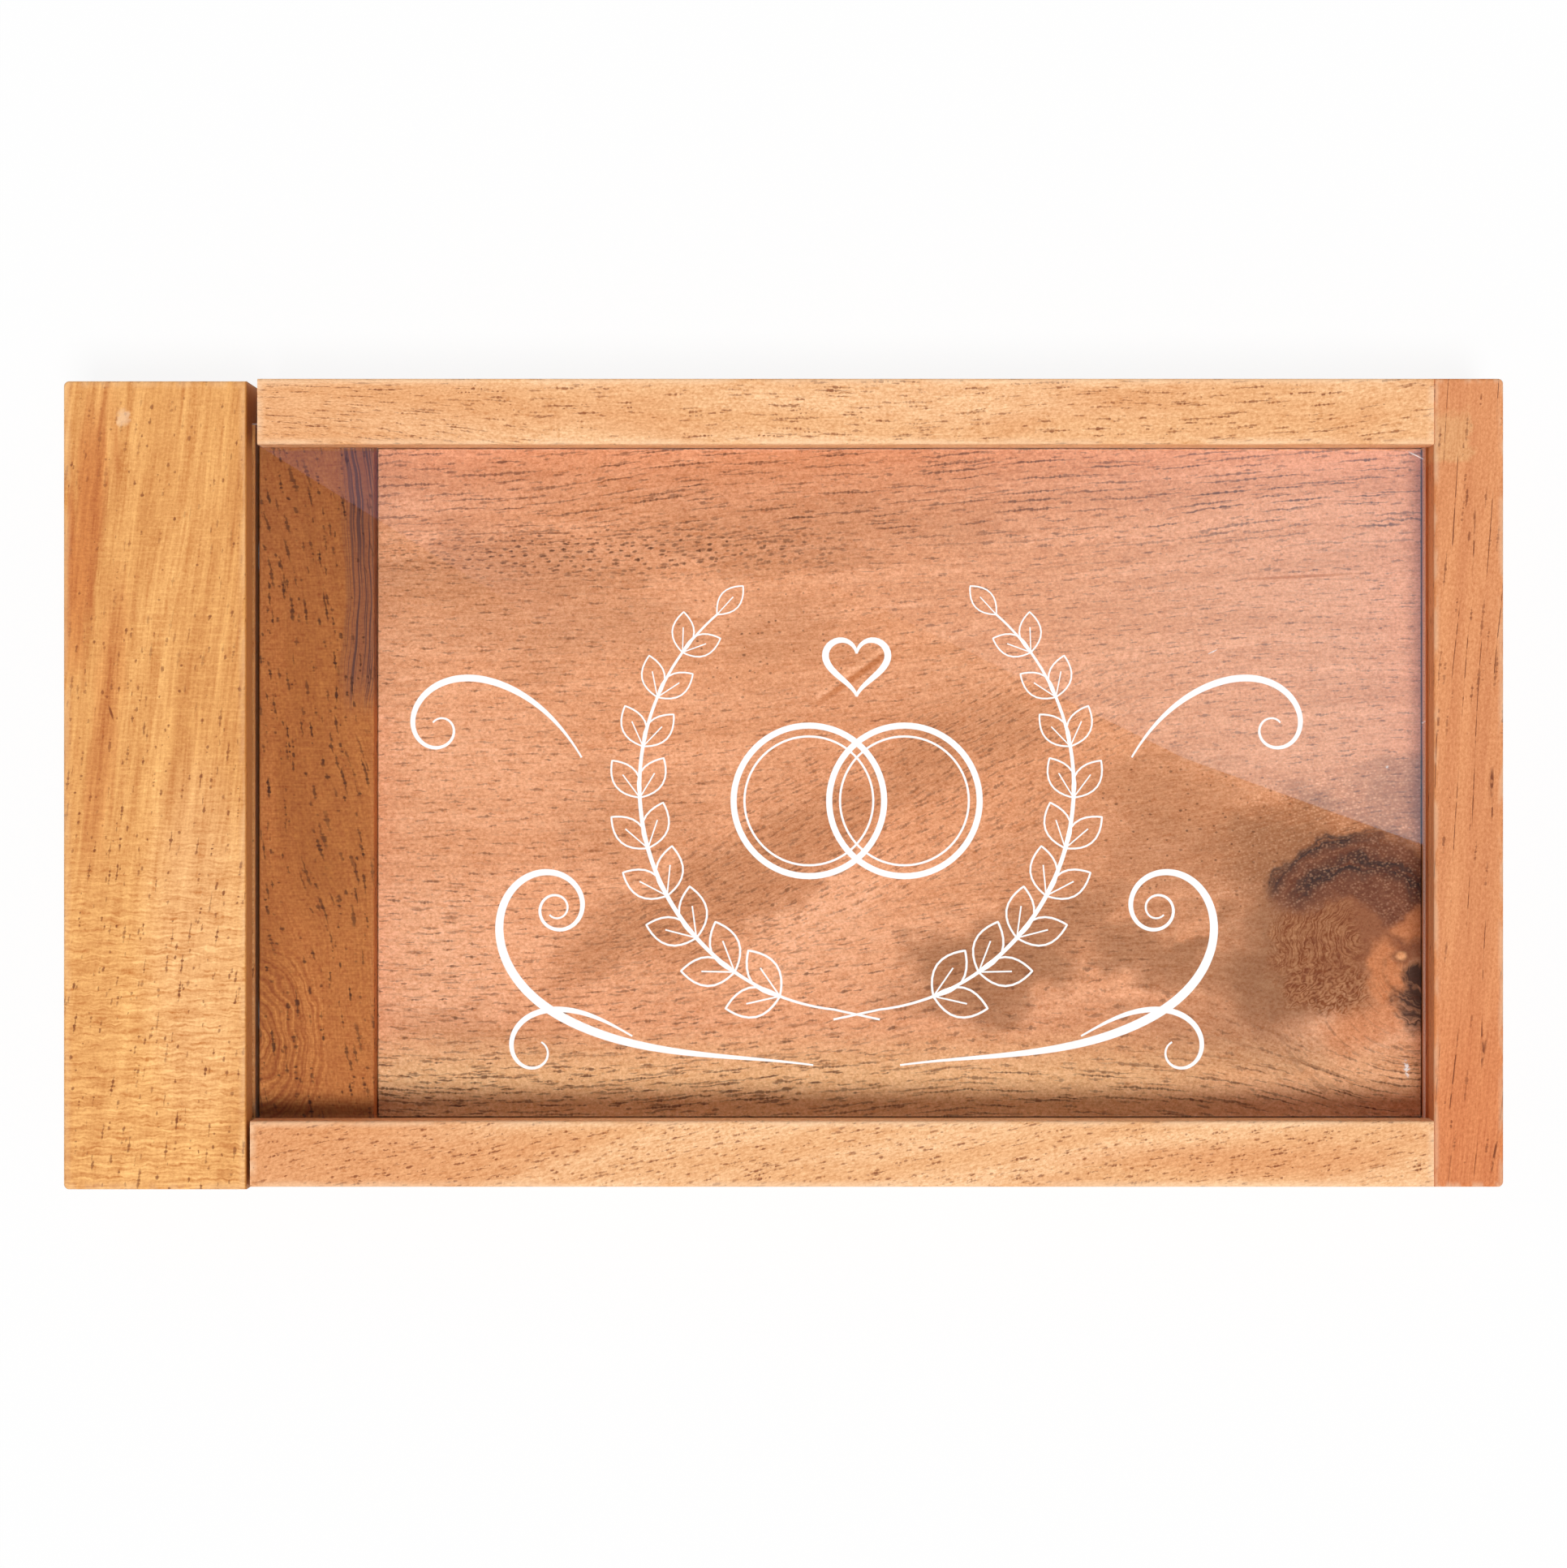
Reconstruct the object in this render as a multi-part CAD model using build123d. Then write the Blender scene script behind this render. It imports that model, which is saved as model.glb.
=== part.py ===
from build123d import *
import os

# A shallow wooden gift box for banknotes. A clear pane fixed in a wide handle block
# slides in the grooves of two long rails, over a cross wall and a recessed floor.
# X runs from the handle to the end wall, Y across the box and Z up. Sizes are in
# millimetres, and the origin lies under the middle of the closed box.

# Lengths along X, from the handle to the end wall
handle_width = 25.0
handle_gap = 0.5
cross_wall_width = 16.0
bay_length = 146.0
end_wall_width = 9.5
rear_rail_shortfall = 1.0

# Widths across Y
box_width = 110.6
rail_width = 9.0
jaw_setback = 0.5

# Heights from the table up
floor_recess = 3.3
floor_thickness = 5.0
bay_depth = 4.4
pane_thickness = 3.0
lip_height = 6.0
cross_wall_drop = 0.3

# Sliding lid
pane_groove_depth = 4.2
pane_slot_depth = 8.0
pane_corner_radius = 1.2
side_clearance = 0.5
over_clearance = 0.3
under_clearance = 0.1
end_clearance = 0.4
slot_clearance = 0.1
lid_shift_share = -0.7

# Joinery
tongue_length = 2.7
tongue_thickness = 3.0
tongue_end_clearance = 0.3
tongue_face_clearance = 0.1
floor_shoulder_gap = 0.2
dowel_diameter = 3.0
dowel_depth = 7.0
dowel_end_clearance = 0.5
dowel_fit = 0.03

# Closing magnets
magnet_diameter = 6.0
magnet_thickness = 3.0
magnet_spacing = 64.0
magnet_inset = 0.2
magnet_fit = 0.05

# Eased arrises
arris_radius = 0.4
corner_radius = 0.7
inner_arris = 0.3

# Places along X
box_length = handle_width + handle_gap + cross_wall_width + bay_length + end_wall_width
x_left = -box_length / 2
x_handle = x_left + handle_width
x_cross = x_handle + handle_gap
x_bay = x_cross + cross_wall_width
x_wall = x_bay + bay_length
x_right = x_wall + end_wall_width

# Places across Y
y_outer = box_width / 2
y_lip = y_outer - rail_width
y_jaw = y_lip + jaw_setback
y_dowel = y_outer - rail_width / 2
tongue_groove_depth = tongue_length + tongue_end_clearance
pane_half_width = y_lip + pane_groove_depth - side_clearance
lid_shift = lid_shift_share * side_clearance

# Places up Z
z_floor_under = floor_recess
z_floor = z_floor_under + floor_thickness
z_tongue = z_floor_under + (floor_thickness - tongue_thickness) / 2
z_tongue_groove = z_tongue + tongue_thickness + tongue_face_clearance
z_pane_under = z_floor + bay_depth
z_pane = z_pane_under + pane_thickness
z_groove_under = z_pane_under - under_clearance
z_groove = z_pane + over_clearance
z_top = z_groove + lip_height
z_cross_wall = z_groove_under - cross_wall_drop


def block(x_range, y_range, z_range):
    """A plain rectangular block between two places on each axis."""
    size = [high - low for low, high in (x_range, y_range, z_range)]
    middle = [(high + low) / 2 for low, high in (x_range, y_range, z_range)]
    return Pos(*middle) * Box(*size)


def bore(diameter, x_range, y, z):
    """A round hole or pin that lies along X."""
    length = x_range[1] - x_range[0]
    middle = (x_range[0] + x_range[1]) / 2
    return Pos(middle, y, z) * Rot(0, 90, 0) * Cylinder(diameter / 2, length)


def eased(solid, radius, *pickers):
    """Rounds the edges that any of the pickers accepts."""
    edges = [edge for edge in solid.edges() if any(pick(edge) for pick in pickers)]
    return fillet(edges, radius)


def upright_at(x):
    """Picks the vertical edges at one place along X."""
    return lambda edge: (
        abs(edge.center().X - x) < 1e-6
        and abs(edge.center().Y) > 1e-6
        and abs(edge.tangent_at(0).Z) > 0.999
    )


def level_at(z):
    """Picks every edge that lies at one height."""
    return lambda edge: abs((edge @ 0).Z - z) < 1e-6 and abs((edge @ 1).Z - z) < 1e-6


def rail_profile():
    """The front rail's section, with Y towards the bay: lip, pane groove, jaw, tongue groove."""
    pane_groove_floor = rail_width - pane_groove_depth
    jaw = rail_width - jaw_setback
    tongue_groove_floor = jaw - tongue_groove_depth
    corners = [
        (0, 0),
        (0, z_top),
        (rail_width, z_top),
        (rail_width, z_groove),
        (pane_groove_floor, z_groove),
        (pane_groove_floor, z_groove_under),
        (jaw, z_groove_under),
        (jaw, z_tongue_groove),
        (tongue_groove_floor, z_tongue_groove),
        (tongue_groove_floor, z_tongue),
        (jaw, z_tongue),
        (jaw, 0),
    ]
    face = make_face(Polyline(*corners, close=True))
    outer_corners = face.vertices().filter_by(
        lambda point: abs(point.Y) < 1e-6 or abs(point.Y - z_top) < 1e-6
    )
    return fillet(outer_corners, arris_radius)


def rail(x_start, side):
    """One long rail, on the front side for -1 and on the rear side for 1."""
    plane = Plane(origin=(x_start, side * y_outer, 0), x_dir=(0, -side, 0), z_dir=(-side, 0, 0))
    solid = extrude(plane * rail_profile(), amount=-side * (x_wall - x_start))
    for z in dowel_heights():
        hole_end = x_wall - dowel_depth - dowel_end_clearance
        solid -= bore(dowel_diameter + 2 * dowel_fit, (hole_end, x_wall), side * y_dowel, z)
    return solid


def dowel_heights():
    """Each rail end has one dowel in the lip and one in the jaw under the pane groove."""
    return [z_top - lip_height / 2, (z_groove_under + z_tongue_groove) / 2]


def end_wall():
    """The end wall covers both rails' ends and takes the floor's tongue in a stopped groove."""
    solid = block((x_wall, x_right), (-y_outer, y_outer), (0, z_top))
    solid = eased(solid, corner_radius, upright_at(x_right))
    solid = eased(solid, arris_radius, level_at(z_top), level_at(0))
    groove_x = (x_wall, x_wall + tongue_groove_depth)
    solid -= block(groove_x, (-y_jaw, y_jaw), (z_tongue, z_tongue_groove))
    for side in (-1, 1):
        for z in dowel_heights():
            hole = (x_wall, x_wall + dowel_depth)
            solid -= bore(dowel_diameter + 2 * dowel_fit, hole, side * y_dowel, z)
    return solid


def corner_dowels():
    """Four glued pins that hold the end wall to the rails' ends."""
    pins = []
    for side in (-1, 1):
        for z in dowel_heights():
            pins.append(bore(dowel_diameter, (x_wall - dowel_depth, x_wall + dowel_depth), side * y_dowel, z))
    return Compound(children=pins)


def cross_wall():
    """The wall under the pane's left end, with a stub tenon in each rail's tongue groove."""
    length = (x_cross, x_bay)
    width = (-y_jaw - tongue_length, y_jaw + tongue_length)
    solid = block(length, width, (0, z_cross_wall))
    for side in (-1, 1):
        shoulder = sorted((side * y_jaw, side * (y_jaw + 2 * tongue_length)))
        solid -= block(length, shoulder, (z_tongue + tongue_thickness, 2 * z_cross_wall))
        solid -= block(length, shoulder, (-z_tongue, z_tongue))
    solid = eased(solid, inner_arris, level_at(z_cross_wall))
    solid -= block((x_bay - tongue_groove_depth, x_bay), width, (z_tongue, z_tongue_groove))
    for y in magnet_places():
        pocket = (x_cross, x_cross + magnet_inset + magnet_thickness)
        solid -= bore(magnet_diameter + 2 * magnet_fit, pocket, y, magnet_height())
    return solid


def floor_panel():
    """The recessed floor, with a tongue all round in the rails, the end wall and the cross wall."""
    low_x = x_bay + floor_shoulder_gap
    high_x = x_wall - floor_shoulder_gap
    half = y_jaw - floor_shoulder_gap
    solid = block((low_x, high_x), (-half, half), (z_floor_under, z_floor))
    tongue_z = (z_tongue, z_tongue + tongue_thickness)
    solid += block((x_bay - tongue_length, x_wall + tongue_length), (-half, half), tongue_z)
    return solid + block((low_x, high_x), (-y_jaw - tongue_length, y_jaw + tongue_length), tongue_z)


def magnet_places():
    """The magnets stand this far across the box, one on each side of its middle."""
    return [-magnet_spacing / 2 + lid_shift, magnet_spacing / 2 + lid_shift]


def magnet_height():
    """The magnets lie at half the cross wall's height."""
    return z_cross_wall / 2


def magnets(x_range):
    """One magnet a side, seated on the bottom of its pocket."""
    return Compound(children=[bore(magnet_diameter, x_range, y, magnet_height()) for y in magnet_places()])


def handle_block():
    """The wide block that the lid is pulled by, slotted for the pane."""
    low_y = lid_shift - y_outer
    high_y = lid_shift + y_outer
    solid = block((x_left, x_handle), (low_y, high_y), (0, z_top))
    solid = eased(solid, corner_radius, upright_at(x_left))
    solid = eased(solid, arris_radius, level_at(z_top), level_at(0))
    slot_half = pane_half_width + slot_clearance
    solid -= block(
        (x_handle - pane_slot_depth, x_handle),
        (lid_shift - slot_half, lid_shift + slot_half),
        (z_pane_under, z_pane + slot_clearance),
    )
    for y in magnet_places():
        pocket = (x_handle - magnet_inset - magnet_thickness, x_handle)
        solid -= bore(magnet_diameter + 2 * magnet_fit, pocket, y, magnet_height())
    return solid


def acrylic_pane():
    """The clear pane, glued in the handle's slot, with its two leading corners rounded."""
    solid = block(
        (x_handle - pane_slot_depth, x_wall - end_clearance),
        (lid_shift - pane_half_width, lid_shift + pane_half_width),
        (z_pane_under, z_pane),
    )
    return eased(solid, pane_corner_radius, upright_at(x_wall - end_clearance))


box_magnet_range = (x_cross + magnet_inset, x_cross + magnet_inset + magnet_thickness)
lid_magnet_range = (x_handle - magnet_inset - magnet_thickness, x_handle - magnet_inset)

pieces = {
    "rear_rail": rail(x_cross + rear_rail_shortfall, 1),
    "front_rail": rail(x_cross, -1),
    "end_wall": end_wall(),
    "corner_dowels": corner_dowels(),
    "cross_wall": cross_wall(),
    "floor_panel": floor_panel(),
    "box_magnets": magnets(box_magnet_range),
    "handle_block": handle_block(),
    "acrylic_pane": acrylic_pane(),
    "lid_magnets": magnets(lid_magnet_range),
}

for name, piece in pieces.items():
    export_step(piece, f"parts/{name}.step")

print("closed length", round(box_length, 2), "height", round(z_top, 2))
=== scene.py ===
import math

import bpy
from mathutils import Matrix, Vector


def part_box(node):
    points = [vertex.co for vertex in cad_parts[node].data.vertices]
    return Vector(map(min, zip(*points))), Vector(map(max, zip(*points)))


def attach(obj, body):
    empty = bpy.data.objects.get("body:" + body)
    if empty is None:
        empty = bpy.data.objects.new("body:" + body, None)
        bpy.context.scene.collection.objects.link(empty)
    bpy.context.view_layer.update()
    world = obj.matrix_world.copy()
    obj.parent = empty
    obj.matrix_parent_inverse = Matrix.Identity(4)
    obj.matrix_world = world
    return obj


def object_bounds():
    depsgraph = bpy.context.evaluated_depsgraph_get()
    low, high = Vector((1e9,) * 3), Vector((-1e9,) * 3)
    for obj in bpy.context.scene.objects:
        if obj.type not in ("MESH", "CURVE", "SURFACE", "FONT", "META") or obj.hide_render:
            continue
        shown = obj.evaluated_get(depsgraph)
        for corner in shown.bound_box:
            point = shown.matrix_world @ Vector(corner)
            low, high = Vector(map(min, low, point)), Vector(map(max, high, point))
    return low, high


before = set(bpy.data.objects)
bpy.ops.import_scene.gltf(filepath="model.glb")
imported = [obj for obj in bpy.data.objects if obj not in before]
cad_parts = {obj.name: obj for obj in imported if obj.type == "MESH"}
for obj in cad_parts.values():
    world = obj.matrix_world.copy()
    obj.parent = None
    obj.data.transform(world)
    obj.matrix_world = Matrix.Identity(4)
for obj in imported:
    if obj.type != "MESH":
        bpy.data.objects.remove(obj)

cad_low, cad_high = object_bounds()


# The photograph looks straight down on the closed box, from a little right of its
# middle. The picture's width is the box's length and a white margin each side.
picture_width = 0.2145
sensor_width = 36.0
camera_height = 0.640
camera_x = 0.0107
camera_y = -0.00017


def add_object(name, data):
    """A new object in the scene that holds this camera, lamp or mesh."""
    made = bpy.data.objects.new(name, data)
    bpy.context.scene.collection.objects.link(made)
    return made


camera_data = bpy.data.cameras.new("camera")
camera_data.sensor_width = sensor_width
camera_data.lens = sensor_width * camera_height / picture_width
camera_data.shift_x = -camera_x / picture_width
camera_data.clip_start = 0.01
camera_data.clip_end = 20.0
camera = add_object("camera", camera_data)
camera.location = (camera_x, camera_y, cad_high.z + camera_height)
bpy.context.scene.camera = camera


# Bottom board: one wide plank of pink-brown hardwood with a knot near its right end.
# It is planed, oiled, and held by its tongues in grooves round the four walls.
class Wire:
    """A shader socket that Python's own operators work on."""

    def __init__(self, tree, socket=None):
        self.tree = tree
        self.socket = socket

    def node(self, kind, settings=None, sockets=None, out=0):
        """Adds a node: its settings first, then the values or links of its sockets."""
        made = self.tree.nodes.new(kind)
        for name, value in (settings or {}).items():
            setattr(made, name, value)
        for name, value in (sockets or {}).items():
            if isinstance(value, Wire):
                self.tree.links.new(value.socket, made.inputs[name])
            else:
                made.inputs[name].default_value = value
        return Wire(self.tree, made.outputs[out])

    def output(self, name):
        """Another output of the same node."""
        return Wire(self.tree, self.socket.node.outputs[name])

    def maths(self, operation, *values):
        return self.node("ShaderNodeMath", {"operation": operation}, dict(enumerate(values)))

    def __add__(self, other):
        return self.maths("ADD", self, other)

    def __radd__(self, other):
        return self.maths("ADD", other, self)

    def __sub__(self, other):
        return self.maths("SUBTRACT", self, other)

    def __rsub__(self, other):
        return self.maths("SUBTRACT", other, self)

    def __mul__(self, other):
        return self.maths("MULTIPLY", self, other)

    def __rmul__(self, other):
        return self.maths("MULTIPLY", other, self)

    def __truediv__(self, other):
        return self.maths("DIVIDE", self, other)

    def __rtruediv__(self, other):
        return self.maths("DIVIDE", other, self)

    def __pow__(self, other):
        return self.maths("POWER", self, other)

    def __abs__(self):
        return self.maths("ABSOLUTE", self)

    def least(self, other):
        return self.maths("MINIMUM", self, other)

    def most(self, other):
        return self.maths("MAXIMUM", self, other)

    def step(self, low, high):
        """A smooth rise from 0 at low to 1 at high, or a fall where high is the lower of the two."""
        if low > high:
            return 1.0 - self.step(high, low)
        sockets = {"Value": self, "From Min": low, "From Max": high}
        return self.node("ShaderNodeMapRange", {"interpolation_type": "SMOOTHSTEP"}, sockets)

    def parts(self):
        """The three numbers of a vector."""
        split = self.node("ShaderNodeSeparateXYZ", {}, {0: self})
        return split.output("X"), split.output("Y"), split.output("Z")

    def vector(self, x, y, z):
        return self.node("ShaderNodeCombineXYZ", {}, {0: x, 1: y, 2: z})

    def tint(self, first, second, share):
        """A mix of two colours, each a wire or three numbers."""
        first, second = (c if isinstance(c, Wire) else (*c, 1.0) for c in (first, second))
        made = self.node("ShaderNodeMix", {"data_type": "RGBA"}, {0: share, 6: first, 7: second})
        return Wire(self.tree, made.socket.node.outputs[2])


millimetres = 1000.0


def start_material(name):
    """An empty material, and the place on the object in millimetres."""
    material = bpy.data.materials.new(name)
    material.use_nodes = True
    material.node_tree.nodes.clear()
    place = Wire(material.node_tree).node("ShaderNodeTexCoord", out="Object")
    x, y, z = place.parts()
    return material, x * millimetres, y * millimetres, z * millimetres


def end_material(material, surface):
    """Joins the finished surface to the material's output."""
    end = material.node_tree.nodes.new("ShaderNodeOutputMaterial")
    material.node_tree.links.new(surface.socket, end.inputs["Surface"])
    return material


def cloud(u, v, w, along, across, detail=2.0, rough=0.5):
    """Noise in patches of this many millimetres along and across the grain."""
    point = u.vector(u / along, v / across, w / across)
    sockets = {"Vector": point, "Scale": 1.0, "Detail": detail, "Roughness": rough}
    return u.node("ShaderNodeTexNoise", {}, sockets)


def patch(x, y, middle, reach, turn=0.0):
    """A soft oval spot, 1 at its middle and 0 past its reach, which is half its length and width."""
    c = math.cos(math.radians(turn))
    s = math.sin(math.radians(turn))
    far_x = x - middle[0]
    far_y = y - middle[1]
    a = far_x * (c / reach[0]) + far_y * (s / reach[0])
    b = far_y * (c / reach[1]) - far_x * (s / reach[1])
    return (a * a + b * b).step(1.0, 0.0)


def pores(u, v, w, cell, size, beads=0.0, flat=False):
    """Cut vessels: a thin dark line along the grain in each cell of a scatter, maybe with beads."""
    bead_pitch = 0.42
    bead_shift = 7.0
    point = u.vector(u / cell[0], v / cell[1], w / cell[1])
    sockets = {"Vector": point, "Scale": 1.0, "Randomness": 1.0}
    space = {"voronoi_dimensions": "2D" if flat else "3D"}
    scatter = u.node("ShaderNodeTexVoronoi", space, sockets, "Position")
    cell_u, cell_v, cell_w = scatter.parts()
    large, dark, _ = scatter.output("Color").parts()
    large = 0.35 + large * 0.65
    far_u = (u - cell_u * cell[0]) / (large * size[0])
    far_v = v - cell_v * cell[1]
    far_w = 0.0 if flat else w - cell_w * cell[1]
    half = (0.55 + large * 0.45) * size[1]
    strength = 0.62 + dark * 0.38
    if beads:
        string = u.vector(u / bead_pitch, cell_v * bead_shift, cell_w * bead_shift)
        string = u.node("ShaderNodeTexNoise", {}, {"Vector": string, "Scale": 1.0, "Detail": 0.0})
        bead = string.step(0.47, 0.62) * beads
        half = half * (1.0 - beads * 0.45 + bead)
        strength = strength * (1.0 - beads * 0.4 + bead * 0.4)
    side = (far_v * far_v + far_w * far_w) / (half * half)
    return (far_u * far_u + side).step(1.4, 0.2) * strength


def ragged(x, y, z):
    """A fine shake, in millimetres, that roughens the sides of pores."""
    return (cloud(x, y, z, 0.5, 0.5, 1.0) - 0.5) * 0.42


def worn_edges(x, y, z, node, width):
    """1 on a piece's long edges, fading to 0 this many millimetres in from them."""
    low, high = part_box(node)
    inside = []
    for place, least, most in zip((x, y, z), low, high):
        middle = (least + most) / 2 * millimetres
        half = (most - least) / 2 * millimetres
        inside.append(half - abs(place - middle))
    a, b, c = inside
    second = a.least(b).most(a.most(b).least(c))
    return second.step(width, 0.0)


def toned(colour, gain):
    """A colour paler or deeper by this share, its blue more than its red, as figure in wood is."""
    red, green, blue = 0.7, 1.2, 1.75
    gain = gain.most(-0.5)
    factor = gain.vector(1.0 + gain * red, 1.0 + gain * green, 1.0 + gain * blue)
    return gain.node("ShaderNodeVectorMath", {"operation": "MULTIPLY"}, {0: colour, 1: factor})


def finish_wood(material, colour, roughness, height, depth=0.06):
    """Oiled wood: a soft gloss over its colour, with the pores sunk this many millimetres."""
    sockets = {"Strength": 0.7, "Distance": depth / millimetres, "Height": height}
    relief = height.node("ShaderNodeBump", {}, sockets)
    sockets = {"Base Color": colour, "Roughness": roughness, "IOR": 1.35, "Normal": relief}
    return end_material(material, height.node("ShaderNodeBsdfPrincipled", {}, sockets))


def dress(node, material):
    """Puts a material on a construction piece."""
    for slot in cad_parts[node].material_slots:
        slot.material = material


def spots(x, y, places):
    """Soft ovals laid over one another: middle, reach, turn in degrees and strength of each."""
    together = None
    for middle, reach, turn, strength in places:
        spot = patch(x, y, middle, reach, turn) * strength
        together = spot if together is None else together.most(spot)
    return together


def board_wood():
    material, x, y, z = start_material("pink_brown_board")
    knot = (88.0, -25.8)
    knot_reach = 16.0
    knot_softness = 150.0
    arc_middle = (80.5, -22.0)

    # The grain runs along the plank, swells upwards over the middle and parts round the knot.
    sway = cloud(x, y, z, 42.0, 15.0, 1.0) - 0.5
    kink = cloud(x, y, z, 1.6, 0.9, 1.0) - 0.5
    far_x = x - knot[0]
    far_y = y - knot[1]
    far = far_x * far_x + far_y * far_y
    flow = far_y * (1.0 - knot_reach ** 2 / (far + knot_softness)) + knot[1]
    hump = ((y + 2.0) / 36.0) ** 2.0
    hump = hump.step(1.0, 0.0)
    rise = x.step(-30.0, 56.0) * hump * 7.0
    bow = x.least(-10.0) + 45.0
    sink = (bow * bow * 0.0018 + (x.least(25.0) + 10.0).most(0.0) * 0.12) * y.step(-6.0, -30.0)
    lift = x * y.step(20.0, 40.0) * 0.06
    u = x + 300.0
    v = flow - rise - sink - lift + sway * 3.0 + kink * 0.5
    w = z

    # Tones: broad soft bands that cross the grain, as light on curled fibres makes them.
    blur_x = x + (cloud(x, y, z, 16.0, 16.0, 4.0, 0.65) - 0.5) * 34.0
    blur_y = y + (cloud(x + 50.0, y, z, 18.0, 9.0, 4.0, 0.65) - 0.5) * 20.0
    pink = (0.765, 0.345, 0.165)
    peach = (0.865, 0.420, 0.222)
    tan = (0.600, 0.260, 0.115)
    brown = (0.425, 0.188, 0.082)
    apricot = (0.91, 0.465, 0.260)
    straw = (0.86, 0.52, 0.25)
    streaks = cloud(u, v, w, 60.0, 4.0, 3.0, 0.6)
    colour = x.tint(pink, peach, streaks.step(0.36, 0.66))
    sunlit = spots(blur_x, blur_y, (
        ((-52.0, -24.0), (26.0, 12.0), 8.0, 0.8),
        ((5.0, -20.0), (20.0, 10.0), 28.0, 1.0),
        ((-12.0, -31.0), (34.0, 7.0), 0.0, 0.25),
        ((-48.0, 8.0), (26.0, 9.0), 0.0, 0.5),
        ((78.0, -35.0), (12.0, 6.0), -20.0, 0.9),
    ))
    colour = x.tint(colour, apricot, sunlit)
    dusk = spots(blur_x, blur_y, (
        ((-41.6, 29.4), (29.0, 7.0), 2.0, 0.7),
        ((3.8, 35.7), (38.0, 6.0), 2.0, 0.6),
        ((0.0, 43.0), (90.0, 9.0), 0.0, 0.35),
        ((3.8, 19.8), (16.0, 7.0), -5.0, 0.55),
        ((-5.3, -12.5), (46.0, 8.5), 29.0, 0.95),
        ((20.8, 4.5), (14.0, 7.5), 10.0, 0.85),
        ((60.5, -5.2), (27.0, 9.0), -12.0, 1.0),
        ((45.0, -11.6), (21.0, 10.0), 0.0, 0.6),
        ((50.8, -36.9), (20.0, 8.0), -3.0, 0.5),
        ((66.0, 26.0), (44.0, 34.0), 0.0, 0.1),
        ((-28.0, 21.5), (26.0, 7.0), 0.0, 0.6),
        ((12.0, 6.0), (34.0, 14.0), 20.0, 0.3),
        ((32.0, 7.0), (12.0, 5.0), 0.0, 0.7),
        ((-22.0, -5.0), (14.0, 9.0), 20.0, 0.45),
        ((-42.0, -34.9), (19.0, 6.5), -8.0, 0.55),
    ))
    colour = x.tint(colour, tan, dusk)
    dark = spots(blur_x, blur_y, (
        ((31.0, -25.6), (18.0, 9.5), 15.0, 1.0),
        ((40.7, -18.8), (12.0, 8.0), 20.0, 0.75),
        ((54.0, -24.0), (13.0, 6.5), -15.0, 0.9),
        ((56.0, -13.0), (9.0, 8.0), 0.0, 0.35),
        ((86.0, -2.0), (12.0, 6.0), 0.0, 0.6),
        ((63.0, -28.5), (13.0, 9.0), -25.0, 0.85),
        ((57.0, -21.4), (10.0, 2.6), 36.0, 1.0),
        ((66.0, -9.0), (12.0, 8.0), 25.0, 0.8),
        ((64.0, -36.5), (20.0, 6.5), -8.0, 0.6),
        ((70.0, -18.0), (9.0, 8.0), 40.0, 0.7),
    ))
    colour = x.tint(colour, brown, dark)
    # Painted light: towards the front rail, where the rail's shadow falls, the board is tinted paler and
    # yellower. The tint stands in for the warm light bounced into that shade.
    front = y.step(-33.0, -42.0) * (0.85 - x.step(40.0, 70.0) * 0.45)
    colour = x.tint(colour, straw, front)
    crease = patch(x, y, (10.0, 15.0), (9.0, 0.7), 36.0)
    ridge = patch(x, y, (9.6, 15.7), (9.0, 0.6), 36.0)
    hairline = patch(x, y, (71.8, 28.8), (11.0, 0.30), 3.0)
    colour = toned(colour, ridge * 0.25 - crease * 0.35 - hairline * 0.4)

    # The knot: arcs of burnt grain full of pale dots, over curls, a warm heart and a black eye.
    bark = (0.33, 0.140, 0.058)
    rust = (0.300, 0.098, 0.034)
    soot = (0.185, 0.056, 0.022)
    coal = (0.030, 0.012, 0.009)
    ash = (0.46, 0.235, 0.130)
    mottle = cloud(x, y, z, 1.3, 0.9, 3.0, 0.7) - 0.5
    wobble = cloud(x, y, z, 4.0, 4.0, 3.0, 0.6) - 0.5
    rim_x = far_x + wobble * 6.0
    rim_y = far_y + (cloud(x + 30.0, y, z, 5.0, 5.0, 3.0, 0.65) - 0.5) * 6.0
    hub_x = x - arc_middle[0]
    hub_y = y - arc_middle[1]
    ring = (hub_x * hub_x + hub_y * hub_y) ** 0.5 + wobble * 4.5
    height = hub_y / ring.most(1.0)
    hair = cloud(ring, hub_x * 0.14, hub_y * 0.14, 0.34, 1.0, 3.0, 0.7) - 0.5
    around = patch(rim_x, rim_y, (-9.0, 6.0), (22.0, 17.0), 20.0)
    colour = x.tint(colour, bark, around * 0.75)
    core = patch(rim_x, rim_y, (-7.0, 8.0), (14.0, 10.0), 10.0)
    colour = x.tint(colour, rust, (core * 1.4 + mottle * 0.8).least(0.9).most(0.0))
    inner = ring + hub_x.step(-10.0, 8.0) * 5.5
    crown = ring.step(17.0, 13.0) * inner.step(6.5, 10.0) * height.step(0.15, 0.60)
    crown_edge = crown.step(0.0, 0.4)
    inner_char = abs(ring - 10.7).step(2.4, 0.3) * height.step(0.35, 0.75)
    outer_char = abs(ring - 14.6).step(1.6, 0.2) * height.step(0.35, 0.55) * hub_x.step(6.0, -2.0)
    char = inner_char.most(outer_char * 0.8)
    burnt = ((crown * 1.1).least(1.0) + mottle * 0.5 + hair * 0.9).step(0.1, 1.0) * crown_edge
    colour = x.tint(colour, soot, burnt * 0.95)
    colour = toned(colour, (hair * 2.2 + mottle * 1.2) * burnt)
    charred = (char * (0.75 + hair * 3.5 + mottle)).least(0.95) * crown_edge
    colour = x.tint(colour, coal, charred)
    dots = x.vector(x / 0.46, y / 0.38, z / 0.4)
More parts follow.
